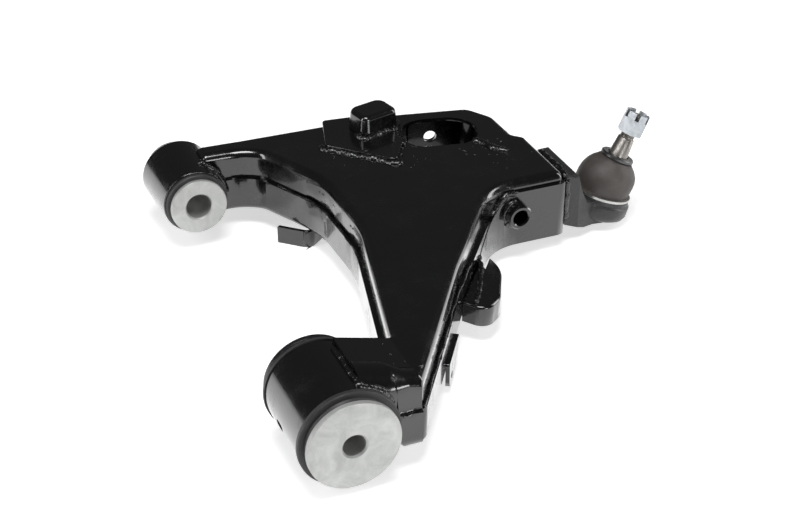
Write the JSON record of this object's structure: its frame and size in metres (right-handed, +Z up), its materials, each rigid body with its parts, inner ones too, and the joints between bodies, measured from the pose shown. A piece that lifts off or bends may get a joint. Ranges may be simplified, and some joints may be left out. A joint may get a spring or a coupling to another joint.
{
  "type": "front lower control arm",
  "caption": "Boxed pressed-steel lower suspension arm: bush at each end of its inboard side, ball joint outboard, shock absorber pocket and bump stop seat.",
  "frame": {"origin": "centre of the rear (larger) bush bore", "axes": "+Y along both bush bores, from the rear bush to the front bush; +X outboard, towards the ball joint; +Z up"},
  "size_m": [0.4572, 0.4772, 0.1097],
  "materials": {
    "shell_paint": "gloss",
    "bracket_paint": "gloss",
    "eye_paint": "gloss",
    "forging_paint": "satin",
    "bush_steel": "satin",
    "bush_rubber": "matte",
    "boot_rubber": "matte",
    "ring_steel": "satin",
    "stud_steel": "satin",
    "nut_zinc": "satin",
    "seat_plastic": "matte"
  },
  "bodies": {
    "arm": {"upper_shell": "shell_paint", "lower_shell": "shell_paint", "side_plate": "bracket_paint", "stabiliser_link_tube": "eye_paint", "rear_eye": "eye_paint", "front_eye": "eye_paint", "rear_bush_shell": "bush_steel", "rear_bush_rubber": "bush_rubber", "front_bush_shell": "bush_steel", "front_bush_rubber": "bush_rubber", "bump_stop_doubler": "bracket_paint", "bump_stop_seat": "bracket_paint", "shock_inner_bracket": "bracket_paint", "shock_outer_pad": "bracket_paint", "shock_weld_nut": "bracket_paint", "underside_bracket": "bracket_paint", "stop_bracket": "bracket_paint", "hose_tab": "bracket_paint", "ball_joint_housing": "forging_paint", "ball_seat": "seat_plastic", "housing_cover": "forging_paint"},
    "rear_core": {"rear_bush_core": "bush_steel", "rear_bush_rear_washer": "bush_steel", "rear_bush_front_washer": "bush_steel"},
    "front_core": {"front_bush_core": "bush_steel", "front_bush_rear_washer": "bush_steel", "front_bush_front_washer": "bush_steel"},
    "boot_base": {"dust_boot": "boot_rubber", "boot_clamp_ring": "ring_steel"},
    "stud_carrier": {"boot_lip_ring": "ring_steel"},
    "stud": {"ball_stud": "stud_steel", "castle_nut": "nut_zinc"}
  },
  "joints": [
    {"name": "rear_bush_twist", "type": "hinge", "parent": "arm", "child": "rear_core", "pos_m": [0, 0, 0], "axis": [0, 1, 0], "range_deg": [-25, 25], "stiffness_Nm_per_rad": 60},
    {"name": "front_bush_twist", "type": "hinge", "parent": "arm", "child": "front_core", "pos_m": [0, 0.3842, 0], "axis": [0, 1, 0], "range_deg": [-25, 25], "stiffness_Nm_per_rad": 40},
    {"name": "ball_direction", "type": "hinge", "parent": "arm", "child": "boot_base", "pos_m": [0.368, 0.252, -0.018], "axis": [0.309, 0, 0.9511], "continuous": true},
    {"name": "ball_swing", "type": "hinge", "parent": "boot_base", "child": "stud_carrier", "pos_m": [0.368, 0.252, -0.018], "axis": [0, 1, 0], "range_deg": [-32, 18], "deforming": ["dust_boot"]},
    {"name": "ball_spin", "type": "hinge", "parent": "stud_carrier", "child": "stud", "pos_m": [0.368, 0.252, -0.018], "axis": [0.4226, 0, 0.9063], "continuous": true}
  ]
}
